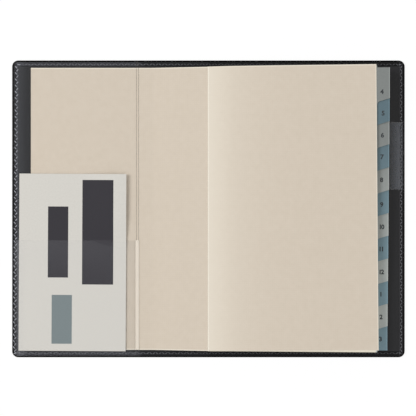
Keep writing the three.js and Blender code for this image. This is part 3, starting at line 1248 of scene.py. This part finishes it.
    def _stitch_places(self) -> list[tuple[Vector, float]]:
        """Walks round the rim from the middle of its head, and places the stitches.

        Returns:
            The middle and the heading of each stitch.
        """
        far = self.half_width - self.side_inset
        high = self.half_height - self.stitch_inset
        turn = self.corner - self.stitch_inset
        arc = turn * math.pi / 2
        long, tall = far - turn, 2 * (high - turn)
        whole = 2 * long + 2 * arc + tall
        count = int(whole / self.stitch_pitch)
        places = []
        for index in range(count):
            along = (index + 0.5) * whole / count
            if along < long:
                places.append((Vector((along, high, 0)), 0.0))
            elif along < long + arc:
                angle = (along - long) / turn
                places.append((Vector((long + turn * math.sin(angle),
                                       high - turn + turn * math.cos(angle), 0)), -angle))
            elif along < long + arc + tall:
                places.append((Vector((far, high - turn - (along - long - arc), 0)),
                               -math.pi / 2))
            elif along < long + 2 * arc + tall:
                angle = (along - long - arc - tall) / turn
                places.append((Vector((long + turn * math.cos(angle),
                                       turn - high - turn * math.sin(angle), 0)),
                               -math.pi / 2 - angle))
            else:
                places.append((Vector((whole - along, -high, 0)), math.pi))
        return places

    def _add_lining(self, side: Side, label: str, sheet: bpy.types.Material) -> None:
        """Adds one half of the inside lining.

        Args:
            side: Which half.
            label: The half's name.
            sheet: The lining's material.
        """
        reach = self.rim + self.rim_gap
        middle = 2 * self.middle_gap
        face = self.thickness - TINY
        bm = slab(middle, self.half_width - reach, reach - self.half_height,
                  self.half_height - reach, self.thickness - self.lining, self.thickness)
        round_edges(bm, edges_where(bm, lambda a, b: a.z > face and b.z > face
                                    and max(a.x, b.x) > middle + TINY), self.lining_round,
                    steps=2)
        cut_across(bm, steps_between(self.cuts_start, self.cuts_end, self.cuts))
        flip_to(bm, side)
        piece = piece_from(bm, f"{label}_cover_inside", [sheet])
        self._bend(piece, side)
        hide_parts(f"{label}_cover_lining",
                    *(["spine_lining"] if side is Side.BACK else []))

    def _bend(self, piece: bpy.types.Object, side: Side) -> None:
        """Applies a half's transform to its mesh, so that it stays where it was built.

        Args:
            piece: The half's skin or lining.
            side: Which half.
        """
        if side is Side.BACK:
            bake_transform(piece)
        else:
            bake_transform(piece)


@dataclass
class Films:
    """The clear films inside the cover: front sleeve, card pocket and back band."""

    outer: float = -SLEEVE.left
    half_height: float = SLEEVE.head
    corner: float = 2.4
    mouth: float = 35.46
    thickness: float = 0.12
    weld: float = 1.0
    weld_level: float = 2.0
    drop: float = 2.4
    sleeve_level: float = SLEEVE.high
    hem_lines: tuple[float, float] = (1.66, 0.62)
    hem_line: float = 0.22
    pocket_level: float = POCKET.high
    pocket_weld_level: float = 2.2
    pocket_head: float = POCKET.head
    strip_start: float = 2.0
    strip_end: float = 0.3
    strip_foot: float = -72.4
    band_left: float = BAND.left
    band_foot: float = BAND.foot
    band_head: float = BAND.head
    band_foot_edge: float = 0.2
    band_head_edge: float = 0.35

    def build(self) -> None:
        """Builds and dresses the three films."""
        film = ClearFilm().build("clear_pvc_film")
        pocket = ClearFilm("#dadce2", cover=0.012, mouth_glow=0.01).build("clear_pvc_pocket_film")
        band = ClearFilm(cover=0.045, weld_glow=0.09).build("clear_pvc_band_film")
        strip, line, rim = (
            ClearFilm(colour, cover=cover, mottle=0.1, weld_glow=0.0).build(name)
            for colour, cover, name in (("#fff6e8", 0.6, "milky_pvc_strip"),
                                        # Thin dark film along the hem's two edges, painted shade
                                        # where they shadow the leaf
                                        ("#5f584f", 0.22, "hem_painted_shade"),
                                        ("#c9cbd0", 0.07, "polished_pvc_edge")))
        self._add_sleeve(film, line)
        self._add_pocket(pocket, strip)
        self._add_band(band, rim)

    def _level(self, inset: float, low: float, high: float) -> float:
        """Gives a film's level, which rises from its weld.

        Args:
            inset: The distance from its welded edge.
            low: Its level on the weld.
            high: Its level where it is free.

        Returns:
            The level in millimetres.
        """
        return low + (high - low) * ease((inset - self.weld) / self.drop)

    def _round_corners(self, bm: bmesh.types.BMesh) -> None:
        """Pulls the outer corners of a front film in to a round.

        Args:
            bm: The film's mesh.
        """
        side, end = self.outer - self.corner, self.half_height - self.corner
        for vert in bm.verts:
            dx, dy = -vert.co.x - side, abs(vert.co.y) - end
            if dx > 0 and dy > 0:
                pull = max(dx, dy) / math.hypot(dx, dy)
                vert.co.x = -(side + dx * pull)
                vert.co.y = math.copysign(end + dy * pull, vert.co.y)

    def _mark(self, bm: bmesh.types.BMesh, test: Callable[[Vector], bool]) -> None:
        """Gives the second finish to the faces whose middles pass a test.

        Args:
            bm: The film's mesh.
            test: Whether a face's middle lies in the marked part.
        """
        for face in bm.faces:
            if test(face.calc_center_median()):
                face.material_index = 1

    def _add_sleeve(self, film: bpy.types.Material, line: bpy.types.Material) -> None:
        """Adds the sleeve over the whole front cover, with a turned hem at its open edge.

        Args:
            film: The film's material.
            line: The material of the painted shade along the hem's two edges.
        """
        hems = [(-self.mouth - inset, -self.mouth - inset + self.hem_line)
                for inset in self.hem_lines]

        def height(x: float, y: float) -> float:
            """Gives the sleeve's level, held down on three sides."""
            inset = min(self.outer + x, self.half_height - abs(y))
            return self._level(inset, self.weld_level, self.sleeve_level)

        bm = sheet_mesh(-self.outer, -self.mouth, -self.half_height, self.half_height,
                        columns=60, rows=60, thickness=self.thickness, height=height)
        cut_across(bm, [place for hem in hems for place in hem])
        cut_across(bm, [self.pocket_head], axis=1)
        self._mark(bm, lambda c: c.y > self.pocket_head
                   and any(start < c.x < end for start, end in hems))
        self._round_corners(bm)
        piece = piece_from(bm, "front_sleeve_film", [film, line])
        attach(piece, "front_cover")
        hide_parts("front_sleeve")

    def _add_pocket(self, film: bpy.types.Material, strip: bpy.types.Material) -> None:
        """Adds the card pocket, welded down at its foot, its outer side and its strip.

        Args:
            film: The film's material.
            strip: The material of its welded strip.
        """
        start, end = -self.mouth - self.strip_start, -self.mouth - self.strip_end

        def height(x: float, y: float) -> float:
            """Gives the pocket's level, held down on three sides."""
            inset = min(self.outer + x, self.half_height + y, -self.mouth - x)
            return self._level(inset, self.pocket_weld_level, self.pocket_level)

        bm = sheet_mesh(-self.outer, -self.mouth, -self.half_height, self.pocket_head,
                        columns=60, rows=50, thickness=self.thickness, height=height)
        cut_across(bm, [start, end])
        cut_across(bm, [self.strip_foot], axis=1)
        self._mark(bm, lambda c: start < c.x < end and c.y > self.strip_foot)
        self._round_corners(bm)
        piece = piece_from(bm, "card_pocket_film", [film, strip])
        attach(piece, "front_cover")
        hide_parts("card_pocket")

    def _add_band(self, film: bpy.types.Material, rim: bpy.types.Material) -> None:
        """Adds the narrow band on the back cover, welded at its outer end.

        Args:
            film: The film's material.
            rim: The material of its two cut edges.
        """
        low, high = self.band_foot + self.band_foot_edge, self.band_head - self.band_head_edge

        def height(x: float, y: float) -> float:
            """Gives the band's level, held down at its outer end."""
            return self._level(self.outer - x, self.weld_level, self.sleeve_level)

        bm = sheet_mesh(self.band_left, self.outer, self.band_foot, self.band_head,
                        columns=60, rows=30, thickness=self.thickness, height=height)
        cut_across(bm, [high, low], axis=1)
        self._mark(bm, lambda c: c.y > high or c.y < low)
        piece = piece_from(bm, "back_band_film", [film, rim])
        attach(piece, "back_cover")
        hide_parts("back_band")


@dataclass
class ContactCard:
    """The loose card in the pocket, a little bowed, with plain printed blocks."""

    turn: float = 0.32
    width: float = 55.0
    height: float = 91.0
    thickness: float = 0.4
    bottom: float = CARD.low
    bow: float = 1.35
    bow_across: float = 26.0
    bow_depth: float = 6.0
    bow_along: float = 22.0
    pocket_head: float = POCKET.head
    blocks: tuple[PrintedBlock, ...] = (
        PrintedBlock(4.9, 20.9, -11.3, 42.4, "#38363b"),
        PrintedBlock(-12.7, -2.3, -7.8, 28.7, "#38363b"),
        PrintedBlock(-10.6, -0.2, -41.8, -16.7, "#7a8587"),
    )

    def build(self) -> None:
        """Builds the card where the CAD has it, its free corner bowed up off the leaf."""
        low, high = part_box("contact_card")
        centre = Vector(((low[0] + high[0]) / 2 / MM, (low[1] + high[1]) / 2 / MM, 0.0))
        turn = -math.radians(self.turn)
        bm = sheet_mesh(-self.width / 2, self.width / 2, -self.height / 2, self.height / 2,
                        columns=24, rows=36, thickness=self.thickness,
                        height=lambda x, y: self._level(x, centre.y + y))
        bmesh.ops.rotate(bm, cent=(0.0, 0.0, 0.0), matrix=Matrix.Rotation(turn, 3, "Z"),
                         verts=bm.verts)
        bmesh.ops.translate(bm, vec=centre, verts=bm.verts)
        card = PrintedCard((centre.x, centre.y), turn, self.blocks).build("printed_index_card")
        piece = piece_from(bm, "contact_card_sheet", [card], smooth=True)
        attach(piece, "card")
        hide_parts("contact_card")

    def _level(self, x: float, y: float) -> float:
        """Gives the level of the card's face, bowed up beyond the pocket's mouth.

        Args:
            x: The place across the card, from its middle.
            y: The place along the cover.

        Returns:
            The level in millimetres.
        """
        across = ease((x - self.width / 2 + self.bow_across) / self.bow_across)
        along = ease((y - self.pocket_head + self.bow_depth) / self.bow_along)
        return self.bottom + self.thickness + self.bow * across * along


@dataclass
class EndPapers:
    """The folded front endpaper: end leaf in the sleeve, its slope, the fold and the flyleaf."""

    half_height: float = SLOPE.head
    thickness: float = 0.12
    slope_left: float = -38.0
    slope_right: float = -0.37
    slope: tuple[tuple[float, float], ...] = (
        (-38.0, 1.87), (-36.6, 1.875), (-29.4, 1.9), (-26.5, 2.15), (-20.0, 3.1), (-14.0, 3.95),
        (-8.0, 4.8), (-5.0, 5.25), (-2.5, 5.62), (-1.2, 5.76), (-0.62, 5.92), (-0.37, 6.12))
    crest: tuple[tuple[float, float], ...] = (
        (-0.35, 6.14), (-0.2, 6.4), (-0.05, 6.62), (0.08, 6.75), (0.2, 6.8))
    leaf_width: float = 85.4
    leaf_tilt: float = 0.45
    foot_trim: float = 0.3
    fore_edge_line: float = 0.45
    spine_level: float = 6.67
    rise: float = 4.47
    rise_span: float = NOTES.right
    arch: float = 0.85
    arch_start: float = 12.0
    arch_end: float = 20.0
    hinge_level: float = 6.7
    bend_end: float = 0.34
    bend_cuts: int = 8

    def build(self) -> None:
        """Builds and dresses the endpapers."""
        self._add_slope(LaidPaper().build("cream_laid_paper"))
        # The crest's paler paper is a painted highlight, where the fold catches the light
        crest_highlight = LaidPaper(colour="#efe9dc", fleck="#e9e0cf")
        self._add_fold(crest_highlight.build("laid_paper_crest_highlight"))
        # The flyleaf gets painted light beside its fold and a painted highlight along its fore
        # edge
        turned = LaidPaper(fold_light_share=0.55, fore_edge=self.leaf_width - self.fore_edge_line,
                           lean=self._lean())
        self._add_flyleaf(turned.build("cream_laid_paper_flyleaf"))
        flat = LaidPaper(grain=Grain.OBJECT).build("cream_laid_paper_flat")
        dress("front_end_leaf", flat)
        dress("back_end_leaf", flat)

    def _lean(self) -> float:
        """Gives the sine of the flyleaf's tilt."""
        return math.sin(math.radians(self.leaf_tilt))

    def _add_slope(self, paper: bpy.types.Material) -> None:
        """Adds the end leaf's slope, from the sleeve up to the fold at the gutter.

        Args:
            paper: Its material.
        """
        bm = sheet_mesh(self.slope_left, self.slope_right, -self.half_height,
                        self.half_height, columns=90, rows=24, thickness=self.thickness,
                        height=lambda x, y: through(self.slope, x))
        piece = piece_from(bm, "front_end_leaf_slope_sheet", [paper], smooth=True)
        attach(piece, "end_leaf")
        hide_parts("front_end_leaf_slope")

    def _add_fold(self, paper: bpy.types.Material) -> None:
        """Adds the crest of the folded sheet in the gutter, whose paler paper is a painted
        highlight.

        Args:
            paper: Its material.
        """
        bm = sheet_mesh(self.crest[0][0], self.crest[-1][0], -self.half_height,
                        self.half_height, columns=8, rows=24, thickness=self.thickness,
                        height=lambda x, y: through(self.crest, x))
        piece = piece_from(bm, "gutter_fold", [paper], smooth=True)
        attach(piece, "text_block")

    def _leaf_level(self, x: float) -> float:
        """Gives the level of the flyleaf, which arches a little as it leaves the gutter.

        Args:
            x: The distance from the gutter.

        Returns:
            The level in millimetres.
        """
        base = self.spine_level + self.rise * x / self.rise_span + self.thickness
        fall = ease((x - self.arch_end) / (self.leaf_width - self.arch_end))
        return base + self.arch * ease(x / self.arch_start) * (1 - fall)

    def _add_flyleaf(self, paper: bpy.types.Material) -> None:
        """Adds the flyleaf, a little out of square, which arches as it leaves the gutter.

        Args:
            paper: Its material.
        """
        lean, gutter = self._lean(), self.crest[-1][0]
        bm = sheet_mesh(gutter, self.leaf_width, self.foot_trim - self.half_height,
                        self.half_height, columns=110, rows=30, thickness=self.thickness,
                        height=lambda x, y: self._leaf_level(x))
        cut_across(bm, steps_between(gutter, self.bend_end, self.bend_cuts) + [self.bend_end])
        for vert in bm.verts:
            share = vert.co.x / self.leaf_width
            vert.co.y += vert.co.x * lean
            vert.co.x -= share * vert.co.y * lean
        piece = piece_from(bm, "flyleaf_sheet", [paper], smooth=True)
        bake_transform(piece)
        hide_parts("flyleaf")


@dataclass(frozen=True)
class IndexStep:
    """A month's step of the index: its number and where that is printed, in millimetres."""

    month: str
    numeral: str
    x: float
    y: float


@dataclass
class TextBlock:
    """The sewn block: month sections with their index, notes section and binding."""

    steps: tuple[IndexStep, ...] = (
        IndexStep("april", "4", 87.7, 59.1),
        IndexStep("may", "5", 88.4, 48.3),
        IndexStep("june", "6", 88.1, 37.2),
        IndexStep("july", "7", 88.0, 26.3),
        IndexStep("august", "8", 87.9, 14.6),
        IndexStep("september", "9", 88.1, 2.1),
        IndexStep("october", "10", 88.1, -9.3),
        IndexStep("november", "11", 88.1, -20.6),
        IndexStep("december", "12", 88.2, -32.3),
        IndexStep("january", "1", 88.1, -43.7),
        IndexStep("february", "2", 88.3, -55.4),
        IndexStep("march", "3", 88.1, -66.8),
    )
    own_bodies: tuple[str, ...] = ("april", "may", "june")
    numeral_size: float = 3.2
    stroke: float = 0.11
    letter_space: float = 0.78
    ink_height: float = 0.02
    ink_lift: float = 0.01
    block_bottom: float = NOTES.low
    spine_notes: float = 0.55
    fore_notes: float = 1.3
    spine_month: float = 0.29
    fore_month: float = 0.6
    gap: float = 0.04
    reach: float = NOTES.right

    def build(self) -> None:
        """Dresses the sections and adds the numerals of the index."""
        tints = [IndexPaper(Tint.GREY, foot_painted_light=1.6).build("text_paper_grey_index"),
                 IndexPaper(Tint.BLUE).build("text_paper_blue_index")]
        ink = FibreStuff("#33373a", "#23272a", size=0.2, roughness=0.7,
                         relief=0.002).build("offset_ink")
        glue = FibreStuff("#d9cfb4", "#c9b98f", size=2.0, roughness=0.35).build("bone_glue")
        for index, step in enumerate(self.steps):
            dress(f"{step.month}_section", tints[index % 2])
            self._add_numeral(index, step, ink)
        dress("notes_section", IndexPaper(None).build("text_paper_notes"))
        dress("binding_glue", glue)
        dress("spine_gauze", CottonMull().build("cotton_mull"))

    def _top(self, index: int, x: float) -> float:
        """Gives the height of a month's top face.

        Args:
            index: The month's place in the year of the planner.
            x: Where to read it.

        Returns:
            The height in millimetres.
        """
        below = len(self.steps) - index
        spine = self.block_bottom + self.spine_notes + below * (self.spine_month + self.gap)
        fore = self.block_bottom + self.fore_notes + below * (self.fore_month + self.gap)
        return spine + (fore - spine) * x / self.reach

    def _add_numeral(self, index: int, step: IndexStep, ink: bpy.types.Material) -> None:
        """Prints a month's number on its step of the index.

        Args:
            index: The month's place in the year of the planner.
            step: The month's step.
            ink: The ink's material.
        """
        curve = bpy.data.curves.new(f"{step.month}_letters", "FONT")
        curve.body = step.numeral
        curve.size = self.numeral_size * MM
        curve.align_x, curve.align_y = "CENTER", "CENTER"
        curve.extrude = self.ink_height * MM / 2
        curve.offset = self.stroke * MM
        curve.space_character = self.letter_space
        curve.resolution_u = 3
        source = bpy.data.objects.new(f"{step.month}_letters", curve)
        bpy.context.scene.collection.objects.link(source)
        bpy.context.view_layer.update()
        mesh = bpy.data.meshes.new_from_object(
            source.evaluated_get(bpy.context.evaluated_depsgraph_get()))
        bpy.data.objects.remove(source)
        slope = math.atan2(self._top(index, self.reach) - self._top(index, 0.0), self.reach)
        height = self._top(index, step.x) + self.ink_height / 2 + self.ink_lift
        mesh.transform(Matrix.Translation((step.x * MM, step.y * MM, height * MM))
                       @ Matrix.Rotation(-slope, 4, "Y"))
        mesh.materials.clear()
        mesh.materials.append(ink)
        piece = show(mesh, f"{step.month}_numeral")
        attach(piece, step.month if step.month in self.own_bodies else "text_block")


@dataclass(frozen=True)
class Lamp:
    """A square soft lamp that points at the planner, in metres and watts."""

    name: str
    place: tuple[float, float, float]
    size: float
    power: float


@dataclass
class Studio:
    """The floor, the lamps, the sky and the camera."""

    camera_height: float = 520.0
    camera_x: float = -0.22
    camera_y: float = 0.45
    focal_length: float = 87.2
    sensor: float = 36.0
    clip_start: float = 10.0
    clip_end: float = 20000.0
    floor_half: float = 1500.0
    floor_level: float = -0.02
    sky: float = 0.55
    lamps: tuple[Lamp, ...] = (Lamp("key_lamp", (-0.88, 0.22, 0.92), 0.6, 7.85),
                               Lamp("fill_lamp", (0.8, -0.12, 0.9), 0.8, 2.5))

    def build(self) -> None:
        """Builds the studio and sets how the picture is shown."""
        self._add_floor()
        self._add_sky()
        for lamp in self.lamps:
            self._add_lamp(lamp)
        self._add_camera()
        bpy.context.scene.view_settings.view_transform = "Standard"

    def _add_floor(self) -> None:
        """Adds the floor just under the planner."""
        bm = bmesh.new()
        bmesh.ops.create_grid(bm, x_segments=2, y_segments=2, size=self.floor_half)
        bmesh.ops.translate(bm, vec=(0.0, 0.0, self.floor_level), verts=bm.verts)
        floor = piece_from(bm, "studio_floor", [StudioPaper().build("background_paper")])

    def _add_sky(self) -> None:
        """Adds an even white sky."""
        world = bpy.data.worlds.new("soft_sky")
        world.use_nodes = True
        world.node_tree.nodes.clear()
        sky = add_node(world.node_tree, "ShaderNodeBackground", None,
                       {"Color": (1.0, 1.0, 1.0, 1.0), "Strength": self.sky})
        add_node(world.node_tree, "ShaderNodeOutputWorld", None, {"Surface": sky.outputs[0]})
        bpy.context.scene.world = world

    def _add_lamp(self, lamp: Lamp) -> None:
        """Adds a lamp.

        Args:
            lamp: Its place, size and power.
        """
        light = bpy.data.lights.new(lamp.name, "AREA")
        light.size, light.energy = lamp.size, lamp.power
        holder = bpy.data.objects.new(lamp.name, light)
        holder.location = lamp.place
        holder.rotation_euler = (-Vector(lamp.place)).to_track_quat("-Z", "Y").to_euler()
        bpy.context.scene.collection.objects.link(holder)

    def _add_camera(self) -> None:
        """Adds the camera, which looks straight down."""
        camera = bpy.data.cameras.new("overhead_camera")
        camera.lens, camera.sensor_width = self.focal_length, self.sensor
        camera.clip_start, camera.clip_end = self.clip_start * MM, self.clip_end * MM
        holder = bpy.data.objects.new("overhead_camera", camera)
        holder.location = (self.camera_x * MM, self.camera_y * MM, self.camera_height * MM)
        bpy.context.scene.collection.objects.link(holder)
        bpy.context.scene.camera = holder


def main() -> None:
    """Builds the planner piece by piece, logging each part as it starts."""
    logging.basicConfig(level=logging.INFO, format="%(name)s: %(message)s")
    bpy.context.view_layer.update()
    for part in (Cover(), Films(), ContactCard(), EndPapers(), TextBlock(), Studio()):
        LOG.info("building %s", type(part).__name__)
        part.build()


if __name__ == "__main__":
    main()
